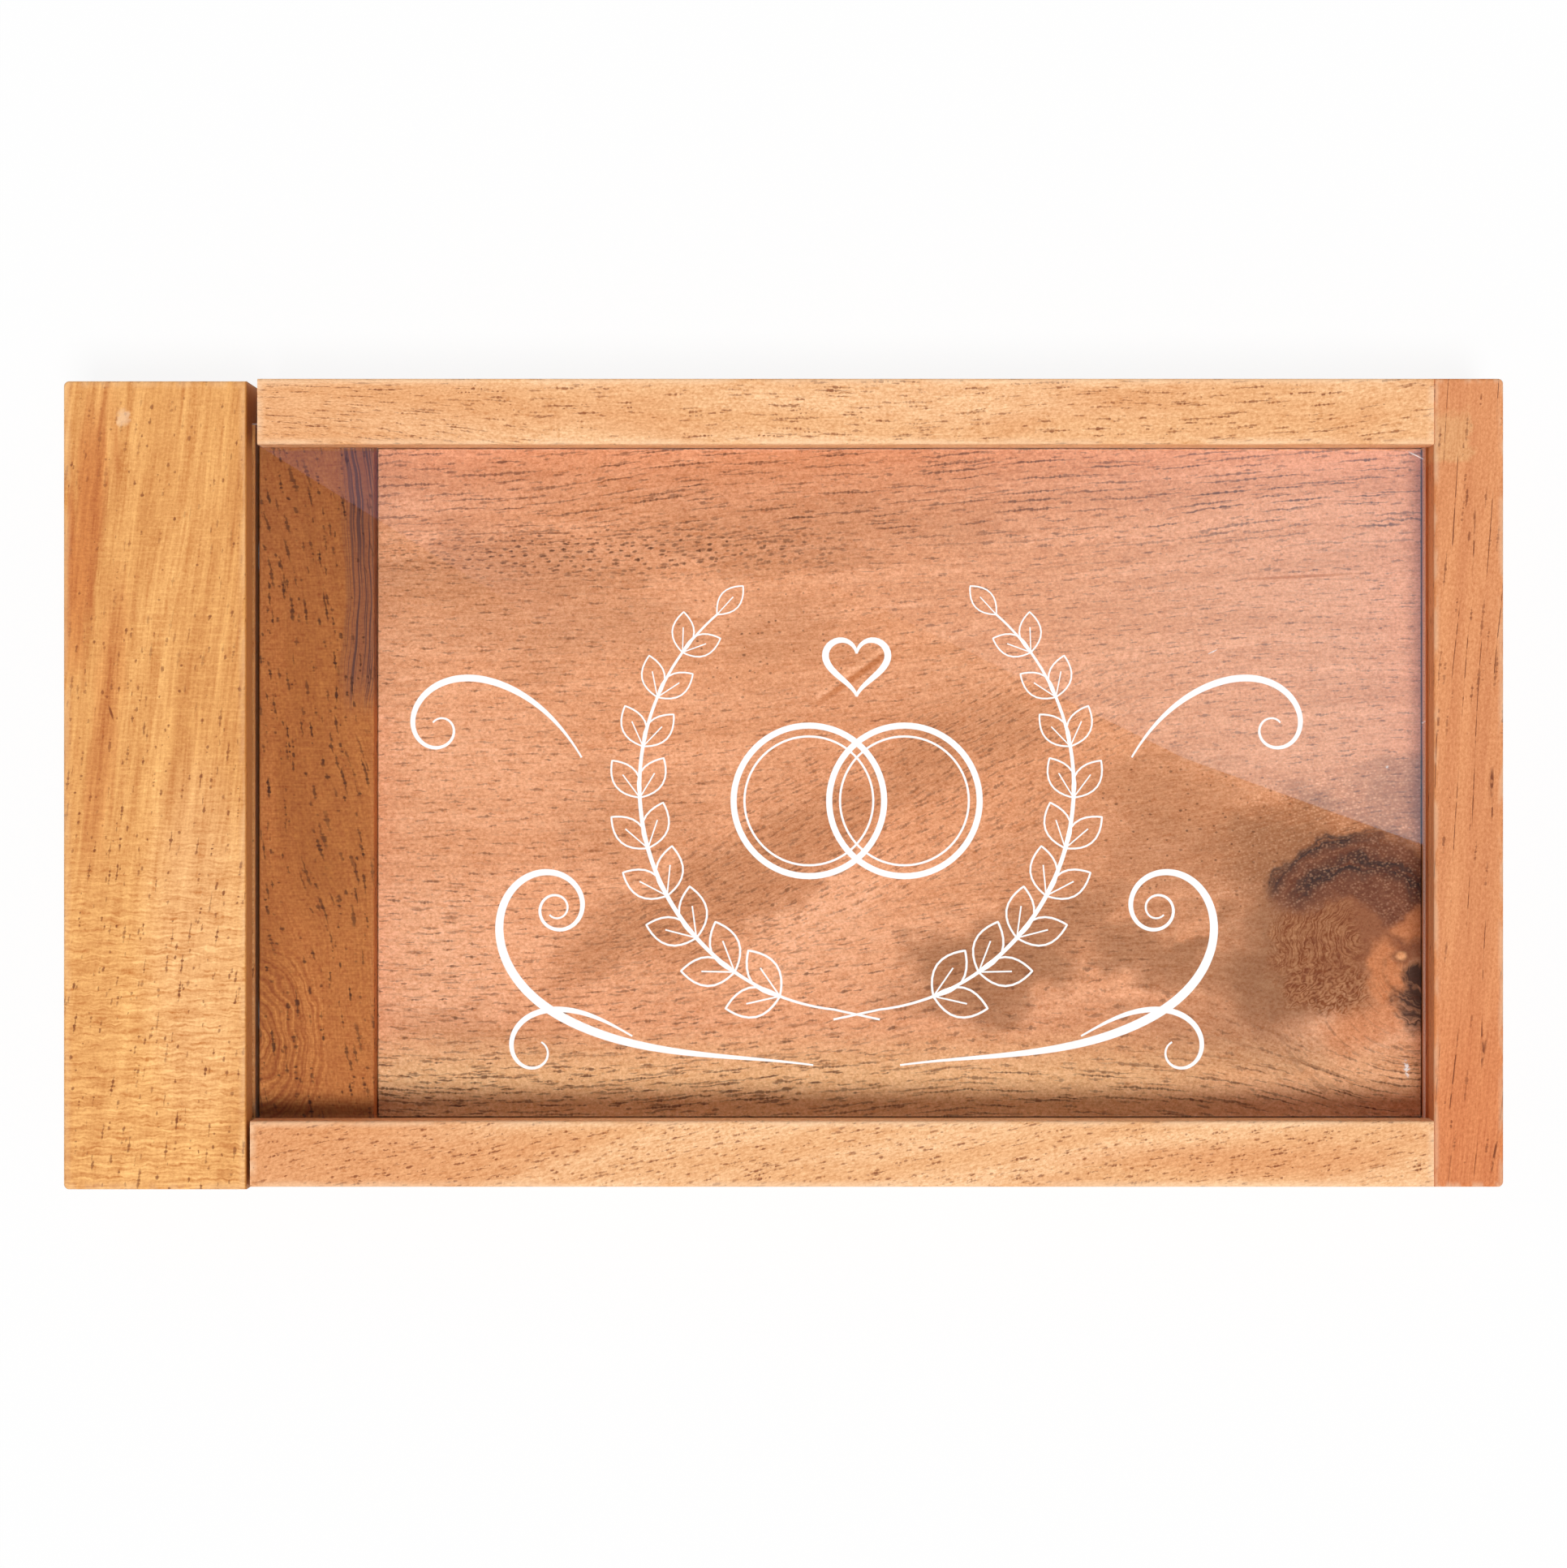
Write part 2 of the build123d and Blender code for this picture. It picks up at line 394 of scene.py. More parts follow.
    dots = x.node("ShaderNodeTexVoronoi", {}, {"Vector": dots, "Scale": 1.0}, "Distance").step(0.55, 0.15)
    above = patch(far_x, far_y, (-10.0, 19.0), (26.0, 13.0), 14.0)
    colour = x.tint(colour, ash, dots * burnt * (0.45 + mottle))
    colour = toned(colour, (dots - 0.4) * above * (1.0 - burnt) * 0.35)

    # Streaks that follow the arcs down, then curls: contours of noise.
    umber = (0.32, 0.135, 0.055)
    chestnut = (0.330, 0.118, 0.040)
    ember = (0.70, 0.260, 0.095)
    shade = (0.26, 0.082, 0.030)
    amber = (0.88, 0.42, 0.18)
    pitch = (0.050, 0.018, 0.010)
    beside = patch(rim_x, rim_y, (-19.5, -1.0), (9.0, 11.0), -10.0)
    colour = x.tint(colour, umber, beside * 0.65)
    cheek = spots(rim_x, rim_y, (
        ((-14.0, 3.0), (8.0, 9.0), 70.0, 1.0),
        ((-12.5, -2.5), (9.0, 5.5), -10.0, 1.0),
    ))
    cheek = (cheek * 1.4 + mottle * 1.2 - 0.1).step(0.0, 1.0) * (1.0 - burnt * 0.8)
    colour = x.tint(colour, chestnut, cheek * 0.9)
    turned_x = far_x * 0.8 + far_y * 0.6
    turned_y = far_x * 0.6 - far_y * 0.8
    whorl = cloud(turned_x, turned_y, z, 2.2, 1.5) * 46.0
    whorl = whorl.maths("SINE", whorl)
    comb = (ring + hair * 1.4) * 11.0
    comb = comb.maths("SINE", comb)
    high = far_y.step(-2.5, 3.5)
    curls = comb * high + whorl * (1.0 - high)
    colour = toned(colour, (curls * 0.44 + mottle * 1.8) * cheek)
    glow = spots(rim_x, rim_y, (
        ((-4.0, -1.0), (3.4, 6.0), 12.0, 1.0),
        ((-0.5, 5.6), (4.0, 2.8), 20.0, 0.7),
        ((-7.0, -8.0), (8.0, 4.0), 30.0, 0.7),
    ))
    colour = x.tint(colour, ember, (glow * 1.2).least(1.0) * 0.85)
    colour = x.tint(colour, shade, patch(rim_x, rim_y, (-0.4, 2.2), (4.0, 2.4)) * 0.65)
    colour = x.tint(colour, amber, patch(far_x, far_y, (-1.9, 1.6), (1.0, 0.8)) * 0.9)
    swirl = ((rim_x - 2.0) * (rim_x - 2.0) + rim_y * rim_y) ** 0.5
    swirl = cloud(swirl, far_x * 0.25, z, 0.5, 5.0, 2.0, 0.6) - 0.5
    eye = patch(far_x, far_y, (0.6, -1.2), (3.0, 2.4))
    eye = eye.most(patch(rim_x, rim_y, (0.4, -5.5), (4.2, 5.0), 20.0) * 0.7)
    colour = x.tint(colour, pitch, (eye * (1.3 + swirl * 3.5)).least(0.95))

    # Fine figure: fibres along the grain, which climbs steeply across the middle, and flecks.
    steep = patch(blur_x, blur_y, (12.0, -7.0), (54.0, 17.0), 26.0).step(0.05, 0.6)
    steep_u = x * 0.90 + y * 0.44
    steep_v = y * 0.90 - x * 0.44 + sway * 4.0 + kink * 0.5
    level = 1.0 - steep
    fibre = cloud(u, v, w, 5.0, 0.36, 3.0, 0.7) * level
    fibre = fibre + cloud(steep_u, steep_v, w, 5.0, 0.36, 3.0, 0.7) * steep
    fleck = cloud(x, y, z, 0.42, 0.34, 2.0, 0.7)
    streaky = 0.55 + (dusk + dark).least(1.0) * 0.4
    colour = toned(colour, (fibre - 0.5) * streaky + (fleck - 0.5) * 1.1)

    # Cut pores: long ones by the rails, dots where the grain rises to the surface.
    top = y.step(31.0, 37.0).most(y.step(-36.0, -41.0))
    band = patch(blur_x, y, (-25.0, 32.3), (46.0, 5.0), 1.0)
    corner = patch(x, y, (-32.0, -34.0), (62.0, 26.0)).step(0.0, 0.5)
    shake = ragged(x, y, z) * 0.45
    v = v + shake
    steep_v = steep_v + shake
    lines = pores(u, v, w, (13.0, 1.1), (6.0, 0.16), 0.6, True) * (top * 0.75 + 0.15)
    dashes = pores(u + 77.0, v + 9.0, w, (3.9, 1.25), (1.3, 0.155), 0.6, True)
    dashes = dashes * level * (0.65 + corner * 0.2)
    close = pores(u + 19.0, v + 2.0, w, (4.8, 1.30), (1.8, 0.17), 0.3, True)
    close = close * corner * (0.50 + top * 0.45)
    steep_dashes = pores(steep_u + 40.0, steep_v, w, (2.8, 0.90), (1.2, 0.19), 0.6, True)
    steep_dashes = steep_dashes * steep * 0.6
    grains = pores(x + 33.0, y + shake, z, (1.3, 0.95), (0.30, 0.19))
    thick = pores(u + 55.0, v + 3.0, w, (1.7, 0.85), (0.60, 0.22), 0.3, True) * band
    cross_cut = patch(x, y, (55.0, -7.0), (24.0, 17.0))
    cross_cut = cross_cut.most(patch(x, y, (-5.0, 20.0), (26.0, 12.0)))
    still = patch(far_x, far_y, (-8.0, 3.0), (32.0, 15.0)).step(0.0, 0.25)
    vessels = lines.most(dashes).most(steep_dashes) * (1.0 - cross_cut * 0.85)
    vessels = vessels.most(close) * (1.0 - still)
    vessels = vessels.most(grains * (0.35 + cross_cut * 0.45)).most(thick) * (1.0 - crown.most(cheek))
    arcs = cloud(far ** 0.5, far_x * 0.1, z, 0.50, 5.0, 2.0).step(0.54, 0.66)
    arcs = arcs * patch(far_x, far_y, (-2.0, -9.0), (24.0, 15.0), 12.0) * (1.0 - crown)
    vessels = vessels.most(arcs * cloud(x, y, z, 1.8, 1.4, 1.0).step(0.42, 0.60) * 0.45)
    pore_brown = (0.105, 0.034, 0.016)
    colour = x.tint(colour, pore_brown, vessels * 0.94)
    roughness = 0.60 + vessels * 0.2 + fibre * 0.1
    return finish_wood(material, colour, roughness, fibre + fleck, 0.03)


dress("floor_panel", board_wood())


# Long rails: light tan hardwood, planed, its open pores showing as short dark dashes
# with beads in them. The arrises are eased with sandpaper and wiped with oil.
def rail_wood(name, node, shift, flow, pore, rosy):
    material, x, y, z = start_material(name)
    sway = cloud(x + shift, y, z, 34.0, 16.0, 1.0) - 0.5
    kink = cloud(x + shift, y, z, 3.0, 1.2, 1.0) - 0.5
    u = x + shift
    v = flow(x, y) + sway * 3.0 + kink * 0.3
    w = z + sway * 2.0

    gold = (0.845, 0.430, 0.187)
    cream = (0.935, 0.530, 0.265)
    rose = (0.74, 0.300, 0.110)
    pore_brown = (0.22, 0.044, 0.010)
    rubbed = (1.0, 0.70, 0.45)
    broad = cloud(u, v, w, 42.0, 4.5, 3.0)
    colour = x.tint(gold, cream, broad.step(0.34, 0.66))
    blush = cloud(u + 90.0, v, w, 24.0, 8.0, 2.0).step(0.5, 0.72) * 0.4
    blush_x = x + (broad - 0.5) * 30.0
    for middle, reach, strength in rosy:
        blush = blush.most(patch(blush_x, y, middle, reach) * strength)
    colour = x.tint(colour, rose, blush)
    fibre = cloud(u, v, w, 2.6, 0.26, 3.0, 0.65)
    grit = cloud(u, v, w, 0.50, 0.34, 2.0, 0.7)
    colour = toned(colour, (fibre - 0.5) * 0.65 + (grit - 0.5) * 1.1)

    v = v + ragged(x, y, z) * 0.7
    long_pores = pores(u, v, w, (pore * 2.1, 0.62), (pore, 0.145), 0.7)
    short_pores = pores(u + 40.0, v + 7.0, w, (pore, 0.74), (pore * 0.45, 0.15), 0.5)
    vessels = long_pores.most(short_pores * 0.9)
    colour = x.tint(colour, pore_brown, vessels * 0.85)
    edge = worn_edges(x, y, z, node, 1.2) * cloud(u, y, z, 9.0, 2.0, 2.0).step(0.3, 0.6)
    colour = x.tint(colour, rubbed, edge * 0.5)
    roughness = 0.58 + vessels * 0.2 + fibre * 0.12
    return finish_wood(material, colour, roughness, fibre * 0.25 - vessels)


def rear_flow(x, y):
    """Grain that fans out of the left front corner, runs straight, then climbs to the right."""
    fan = (-35.0 - x).most(0.0) * 0.018
    climb = x.most(0.0)
    return (y - 54.0) * fan.maths("EXPONENT", fan) - climb * climb * 0.0006


def front_flow(x, y):
    """Grain that climbs steadily to the right."""
    return y - x * 0.21


rear_rosy = (((-60.0, 48.0), (34.0, 12.0), 0.35),)
front_rosy = (((-66.0, -50.0), (44.0, 12.0), 0.8), ((62.0, -51.8), (26.0, 3.0), 0.6))
dress("rear_rail", rail_wood("rear_rail_tan", "rear_rail", 200.0, rear_flow, 3.0, rear_rosy))
dress("front_rail", rail_wood("front_rail_tan", "front_rail", 620.0, front_flow, 1.3, front_rosy))


# End wall: a thick block of redder hardwood across the right end. Its pores line up
# in long thin slanting lines, and a paler smear of old glue shows at the rear corner.
def end_wall_wood():
    material, x, y, z = start_material("end_wall_orange")
    sway = cloud(y, x, z, 60.0, 20.0, 1.0) - 0.5
    u = y + 900.0
    v = x - y * 0.085 + z * 0.4 + sway * 3.0
    w = z
    orange = (0.68, 0.250, 0.092)
    amber = (0.76, 0.305, 0.118)
    red = (0.68, 0.190, 0.052)
    glue = (0.74, 0.37, 0.15)
    pore_brown = (0.15, 0.030, 0.012)
    rubbed = (0.86, 0.56, 0.36)
    broad = cloud(u, v, w, 70.0, 3.2, 3.0)
    colour = x.tint(orange, amber, broad.step(0.36, 0.66))
    colour = x.tint(colour, red, y.step(-12.0, -50.0) * 0.7)
    rag = (cloud(x, y, z, 2.0, 2.0, 4.0, 0.7) - 0.5) * 5.0
    smear = (x + rag).step(94.8, 93.2) * (y + rag * 0.3).step(43.6, 44.2)
    smear = smear * (y + rag).step(52.0, 49.0)
    colour = x.tint(colour, glue, smear * 0.65)
    fibre = cloud(u, v, w, 6.0, 0.28, 3.0, 0.65)
    grit = cloud(u, v, w, 0.5, 0.36, 2.0, 0.7)
    lively = 0.45 + y.step(-20.0, -50.0) * 0.5
    colour = toned(colour, (fibre - 0.5) * lively + (grit - 0.5) * 0.9)

    # Each long line is a contour of stretched noise, broken into dashes.
    contour = abs(cloud(u, v, w, 75.0, 2.2, 0.0) - 0.5)
    spell = cloud(u + 30.0, v, w, 14.0, 2.0, 0.0).step(0.46, 0.56)
    dash = cloud(u, v, w, 1.4, 0.8, 1.0).step(0.38, 0.52)
    lines = contour.step(0.018, 0.006) * spell * (0.2 + dash * 0.8)
    lone = pores(u + 50.0, v + ragged(x, y, z) * 0.7, w, (7.0, 1.1), (2.8, 0.17), 0.8)
    vessels = lines.most(lone * 0.8)
    colour = x.tint(colour, pore_brown, vessels * 0.85)
    edge = worn_edges(x, y, z, "end_wall", 1.0) * cloud(u, x, z, 5.0, 1.6, 2.0).step(0.42, 0.62)
    colour = x.tint(colour, rubbed, edge * 0.5)
    roughness = 0.56 + vessels * 0.2 + fibre * 0.12
    return finish_wood(material, colour, roughness, fibre * 0.2 - vessels)


dress("end_wall", end_wall_wood())


# Cross wall: the low dark block that closes the tray under the lid's handle end. It
# is a walnut-brown offcut with violet streaks and an arched figure in its front corner.
def cross_wall_wood():
    material, x, y, z = start_material("cross_wall_walnut")
    sway = cloud(y, x, z, 26.0, 10.0, 1.0) - 0.5
    u = y + 1300.0
    v = x + y * 0.16 + sway * 5.0
    w = z
    arch_x = (x + 74.0) * 1.5
    arch_y = y + 36.0
    arch_far = (arch_x * arch_x + arch_y * arch_y) ** 0.5
    arch_far = arch_far + (cloud(x, y, z, 5.0, 5.0, 2.0) - 0.5) * 4.0
    arched = arch_far.step(19.0, 12.0) * y.step(-20.0, -26.0)

    walnut = (0.42, 0.130, 0.022)
    russet = (0.57, 0.195, 0.044)
    umber = (0.28, 0.082, 0.015)
    plum = (0.22, 0.066, 0.036)
    violet = (0.085, 0.030, 0.026)
    pore_black = (0.055, 0.016, 0.009)
    rubbed = (0.55, 0.24, 0.10)
    broad = cloud(u, v, w, 30.0, 5.0, 3.0)
    colour = x.tint(walnut, russet, broad.step(0.36, 0.70) * 0.6)
    colour = x.tint(colour, umber, y.step(10.0, 50.0) * 0.55)
    colour = x.tint(colour, russet, patch(x, y, (-60.0, -33.0), (14.0, 22.0)) * 0.6)
    fibre = cloud(u, v, w, 5.0, 0.3, 3.0, 0.65)
    ripple = cloud(x, y, z, 3.0, 0.22, 1.0)
    grit = cloud(x, y, z, 0.40, 0.40, 1.0)
    figure = (fibre - 0.5) * 0.7 + (ripple - 0.5) * 0.55 + (grit - 0.5) * 0.9
    colour = toned(colour, figure)

    # Thin violet lines bend along the tray's edge, contours of noise stretched along them.
    bend = x + ((y - 28.0) / 22.0) ** 2.0 * 1.5 - 0.6
    bend = bend + (cloud(y, x, z, 7.0, 7.0, 1.0) - 0.5) * 1.2
    reach = bend.step(-62.4, -59.8) * y.step(8.0, 16.0)
    colour = x.tint(colour, plum, reach * 0.6)
    lines = cloud(y, bend, z, 30.0, 0.28, 1.0)
    colour = x.tint(colour, violet, lines.step(0.47, 0.60) * reach * 0.85)
    arches = cloud(arch_far, z, z, 0.75, 6.0, 2.0)
    colour = toned(colour, (arches - 0.5) * arched * 2.6)

    v = v + ragged(x, y, z)
    vessels = pores(u, v, w * 0.5, (4.6, 1.0), (2.3, 0.24), 0.6)
    vessels = vessels.most(pores(u + 21.0, v, w * 0.5, (2.6, 1.1), (0.9, 0.22), 0.7) * 0.9)
    colour = x.tint(colour, pore_black, vessels * 0.95)
    edge = worn_edges(x, y, z, "cross_wall", 0.7) * fibre
    colour = x.tint(colour, rubbed, edge * 0.4)
    roughness = 0.58 + vessels * 0.2 + fibre * 0.12
    return finish_wood(material, colour, roughness, fibre * 0.2 - vessels)


dress("cross_wall", cross_wall_wood())


# Corner dowels: plain beech pegs glued into blind holes in the rails' ends and the end
# wall, with the small brown flecks that beech has along its grain.
def dowel_wood():
    material, x, y, z = start_material("dowel_beech")
    fibre = cloud(x, y, z, 5.0, 0.22, 3.0, 0.65)
    flecks = pores(x, y, z, (1.8, 0.5), (0.9, 0.10))
    beech = (0.62, 0.40, 0.22)
    pale_beech = (0.78, 0.56, 0.35)
    fleck_brown = (0.34, 0.16, 0.07)
    colour = x.tint(beech, pale_beech, fibre.step(0.3, 0.7))
    colour = x.tint(colour, fleck_brown, flecks * 0.6)
    return finish_wood(material, colour, 0.5 + fibre * 0.2, fibre - flecks, 0.03)


dress("corner_dowels", dowel_wood())


# Catch magnets: nickel-plated discs sunk a hair below the faces of the cross wall and
# the handle, facing each other, so that the lid stays shut.
def magnet_nickel():
    material, x, y, z = start_material("magnet_nickel")
    plating = (0.70, 0.68, 0.64)
    bright_plating = (0.82, 0.81, 0.78)
    dull_plating = (0.42, 0.39, 0.35)
    scuff = cloud(x, y, z, 0.5, 2.2, 3.0, 0.6)
    tarnish = cloud(x, y, z, 0.35, 0.35, 2.0).step(0.62, 0.72)
    colour = x.tint(plating, bright_plating, scuff)
    colour = x.tint(colour, dull_plating, tarnish * 0.5)
    relief = x.node("ShaderNodeBump", {}, {"Strength": 0.3, "Distance": 0.00002, "Height": scuff})
    roughness = 0.2 + scuff * 0.2 + tarnish * 0.2
    sockets = {"Base Color": colour, "Metallic": 1.0, "Roughness": roughness, "Normal": relief}
    return end_material(material, x.node("ShaderNodeBsdfPrincipled", {}, sockets))


nickel = magnet_nickel()
dress("box_magnets", nickel)
dress("lid_magnets", nickel)


# Handle block: a thick bar of golden hardwood across the left end, slotted to take
# the pane. Its interlocked grain makes fine ribbons at the rear and ripples in front.
def handle_wood():
    material, x, y, z = start_material("handle_golden")
    sway = cloud(y, x, z, 50.0, 18.0, 1.0) - 0.5
    u = y + 1700.0
    v = x - y * 0.12 + sway * 3.0
    w = z + sway
    upper = y.step(-28.0, 8.0)
    lower = 1.0 - upper

    honey = (0.715, 0.308, 0.080)
    straw = (0.865, 0.425, 0.130)
    copper = (0.60, 0.185, 0.036)
    cream = (0.94, 0.52, 0.25)
    pore_brown = (0.20, 0.042, 0.010)
    side_shade_brown = (0.50, 0.175, 0.030)
    dusty = (0.96, 0.66, 0.42)
    rubbed = (0.95, 0.60, 0.32)
    broad = cloud(u, v, w, 45.0, 5.0, 2.0)
    colour = x.tint(honey, straw, (broad.step(0.34, 0.7) * 0.6 + lower * 0.4).least(1.0))
    blush_x = x + (cloud(u, x, z, 14.0, 1.2, 2.0) - 0.5) * 6.0
    blush = patch(blush_x, y, (-95.5, 34.0), (3.6, 26.0), -7.0) * 0.9
    blush = blush.most(patch(blush_x, y, (-93.0, 8.0), (3.0, 26.0), -7.0) * 0.5)
    colour = x.tint(colour, copper, blush)
    pale = patch(x, y, (-80.0, -22.0), (10.0, 30.0)) * 0.3
    colour = x.tint(colour, cream, pale)

    # Ribbons along the grain at the rear, light flecks across it, and wavy ripples in front.
    ribbon = cloud(u, v, w, 10.0, 0.60, 3.0, 0.7) - 0.5
    stripe = cloud(u + 20.0, v, w, 30.0, 1.7, 2.0, 0.6) - 0.5
    lattice = cloud(x, y, z, 3.2, 0.26, 1.0).step(0.50, 0.68)
    lattice = lattice * (0.35 + patch(x, y, (-82.0, 12.0), (20.0, 40.0)) * 0.65)
    wave = cloud(x, y, z, 1.7, 1.7, 2.0) - 0.5
    ripple = cloud(x + wave * 1.5, y + wave * 1.2, z, 3.4, 0.34, 1.0) - 0.5
    grit = cloud(x, y, z, 0.45, 0.40, 2.0, 0.7) - 0.5
    figure = ribbon * (0.35 + upper * 0.75) + stripe * (0.3 + upper * 0.6) + lattice * 0.14
    figure = figure + ripple * (0.15 + lower * 1.1) + grit * 0.8 - 0.02
    colour = toned(colour, figure)

    near = y.step(26.0, -6.0) * 0.5 + 0.5
    kink = cloud(x, y, z, 0.7, 0.7, 2.0) - 0.5
    v = v + ragged(x, y, z) * 0.7
    vessels = pores(u, v, w, (4.2, 0.9), (1.6, 0.165), 0.8) * near
    lone = pores(u + 60.0, v, w, (2.4, 1.1), (0.55, 0.19), 0.5)
    vessels = vessels.most(lone * 0.9)
    vessels = vessels.most(patch(x, y, (-92.0, 9.6), (0.22, 1.3), 18.0))
    colour = x.tint(colour, pore_brown, vessels * 0.9)
    # Painted shade: the inner face beside the pane's slot is coloured a deeper brown-orange for how the
    # light falls on that side. The paler edge is kept off it.
    shaded_inner_face = x.step(-73.85, -73.55)
    colour = x.tint(colour, side_shade_brown, shaded_inner_face * 0.75)
    haze = patch(x + kink * 2.0, y + kink * 2.0, (-90.3, 50.0), (1.2, 1.5))
    colour = x.tint(colour, dusty, haze * 0.5)
    edge = worn_edges(x, y, z, "handle_block", 1.3) * cloud(u, x, z, 8.0, 2.0, 2.0).step(0.3, 0.6)
    edge = edge * (1.0 - shaded_inner_face)
    colour = x.tint(colour, rubbed, edge * 0.4)
    roughness = 0.56 + vessels * 0.2 + grit * 0.14
    return finish_wood(material, colour, roughness, ribbon * 0.3 + ripple * 0.4 - vessels)


dress("handle_block", handle_wood())


# Lid pane: a clear acrylic sheet that slides in the rails' grooves, glued into the
# handle. Its faces are glossy with a few scuffs, and its sawn edges are frosted.
def pane_acrylic():
    material, x, y, z = start_material("clear_acrylic")
    white = (1.0, 1.0, 1.0, 1.0)
    frost_white = (0.93, 0.94, 0.95, 1.0)
    smudge = cloud(x, y, z, 9.0, 9.0, 3.0, 0.6)
    fresnel = x.node("ShaderNodeFresnel", {}, {"IOR": 1.49})
    shadow = x.node("ShaderNodeLightPath", out="Is Shadow Ray")
    inside = x.node("ShaderNodeNewGeometry", out="Backfacing")
    # The near face stands for both, as light inside the sheet isn't bent.
    mirror = (fresnel * 1.9).least(1.0) * (1.0 - inside)
    clear = x.node("ShaderNodeBsdfTransparent", {}, {"Color": white})
    sockets = {"Color": white, "Roughness": 0.002 + smudge * 0.01}
    gloss = x.node("ShaderNodeBsdfGlossy", {}, sockets)
    sheet = x.node("ShaderNodeMixShader", {}, {0: mirror * (1.0 - shadow), 1: clear, 2: gloss})

    scuffs = patch(x, y, (86.0, -39.5), (0.55, 1.6), 15.0) * cloud(x, y, z, 0.5, 0.5).step(0.42, 0.55)
    scuffs = scuffs.most(patch(x, y, (87.3, 45.2), (1.5, 0.13), -26.0))
    scuffs = scuffs.most(patch(x, y, (59.2, 18.1), (0.9, 0.10), 24.0))
    scuffs = scuffs.most(patch(x, y, (83.3, 2.2), (0.25, 0.25)) * 0.7)
    scuffs = scuffs.most(patch(x, y, (88.4, 8.4), (0.6, 0.08), 30.0) * 0.8)
    top = z.step(15.5, 15.65)
    frost = x.node("ShaderNodeBsdfDiffuse", {}, {"Color": frost_white})
    _, _, normal_z = x.node("ShaderNodeTexCoord", out="Normal").parts()
    saw = cloud(x + y, z, z, 0.18, 3.0, 2.0)
    edge = abs(normal_z).step(0.7, 0.3) * (0.25 + saw * 0.45)
    milky = (scuffs * top * 0.7).most(edge)
    return end_material(material, x.node("ShaderNodeMixShader", {}, {0: milky, 1: sheet, 2: frost}))


dress("acrylic_pane", pane_acrylic())


# Ornament: white ink printed on the pane's upper face. Two linked rings and a heart
# stand inside a pair of leafy sprays, with loose flourishes to either side.
class Form(Wire):
    """A geometry socket or a number in a geometry tree."""

    def output(self, name):
        return Form(self.tree, self.socket.node.outputs[name])

    def node(self, kind, settings=None, sockets=None, out=0):
        return Form(self.tree, super().node(kind, settings, sockets, out).socket)


def start_tree(name, inputs):
    """A geometry tree with these named inputs, and its group input."""
    tree = bpy.data.node_groups.new(name, "GeometryNodeTree")
    for label, kind in inputs.items():
        tree.interface.new_socket(label, in_out="INPUT", socket_type=kind)
    tree.interface.new_socket("Ink", in_out="OUTPUT", socket_type="NodeSocketGeometry")
    return tree, Form(tree).node("NodeGroupInput")


def lay_flat(shape, given, layer=0.0):
    """Presses drawn tubes to a film of ink on the pane, each layer a little above the last."""
    layer_rise = 0.12
    x, y, z = shape.node("GeometryNodeInputPosition").parts()
    upper = z.maths("GREATER_THAN", z, given.output("Pane top"))
    level = given.output("Pane top") - given.output("Key depth")
    film = given.output("Film") * (layer * layer_rise + 1.0)
    height = level + upper * (film + given.output("Key depth"))
    sockets = {"Geometry": shape, "Position": x.vector(x, y, height)}
    return shape.node("GeometryNodeSetPosition", {}, sockets)


def end_tree(shape, given):
    """Makes the drawn pieces one plain mesh with its material."""
    shape = shape.node("GeometryNodeRealizeInstances", {}, {"Geometry": shape})
    shape = shape.node("GeometryNodeSetShadeSmooth", {}, {"Geometry": shape, "Shade Smooth": False})
    sockets = {"Geometry": shape, "Material": given.output("Material")}
    shape = shape.node("GeometryNodeSetMaterial", {}, sockets)
    end = shape.tree.nodes.new("NodeGroupOutput")
    shape.tree.links.new(shape.socket, end.inputs["Ink"])


def pen_line(curve, scale, closed=False):
    """Draws a square tube along a curve, this wide."""
    square = curve.node("GeometryNodeCurvePrimitiveQuadrilateral", {}, {"Width": 1.0, "Height": 1.0})
    curve = curve.node("GeometryNodeSetCurveNormal", {"mode": "Z_UP"}, {"Curve": curve})
    sockets = {"Curve": curve, "Profile Curve": square, "Scale": scale, "Fill Caps": not closed}
    return curve.node("GeometryNodeCurveToMesh", {}, sockets)


number = "NodeSocketFloat"
ink_inputs = {
    "Lines": "NodeSocketGeometry",
    "Pane top": number,
    "Film": number,
    "Key depth": number,
    "Material": "NodeSocketMaterial",
}
stroke_tree, given = start_tree("ink_strokes", ink_inputs)
line = given.node("GeometryNodeMeshToCurve", {}, {"Mesh": given.output("Lines")})
pen = given.node("GeometryNodeInputNamedAttribute", {"data_type": "FLOAT"}, {"Name": "pen"})
layer = given.node("GeometryNodeInputNamedAttribute", {"data_type": "FLOAT"}, {"Name": "layer"})
end_tree(lay_flat(pen_line(line, pen), given, layer), given)

# A leaf is one unit long: an outline pulled in from a circle, and a midrib.
leaf_inputs = {
    "Leaves": "NodeSocketInt",
    "Leaf length": number,
    "Leaf pen": number,
    "Leaf angle": number,
}
leaf_fullness = 0.27
midrib_length = 0.62
spray_tree, given = start_tree("leaf_sprays", ink_inputs | leaf_inputs)
x, y, _ = given.node("GeometryNodeInputPosition").parts()
sockets = {"Resolution": 24, "Radius": 1.0}
outline = given.node("GeometryNodeCurvePrimitiveCircle", {"mode": "RADIUS"}, sockets)
leaf_shape = x.vector((x + 1.0) * 0.5, y * abs(y) * leaf_fullness, 0.0)
outline = given.node("GeometryNodeSetPosition", {}, {"Geometry": outline, "Position": leaf_shape})
sockets = {"Start": (0.0, 0.0, 0.0), "End": (midrib_length, 0.0, 0.0)}
midrib = given.node("GeometryNodeCurvePrimitiveLine", {}, sockets)
leaf_pen = given.output("Leaf pen") / given.output("Leaf length")
leaf_lines = (pen_line(outline, leaf_pen, True), pen_line(midrib, leaf_pen * 0.75))
stem = given.node("GeometryNodeMeshToCurve", {}, {"Mesh": given.output("Lines")})
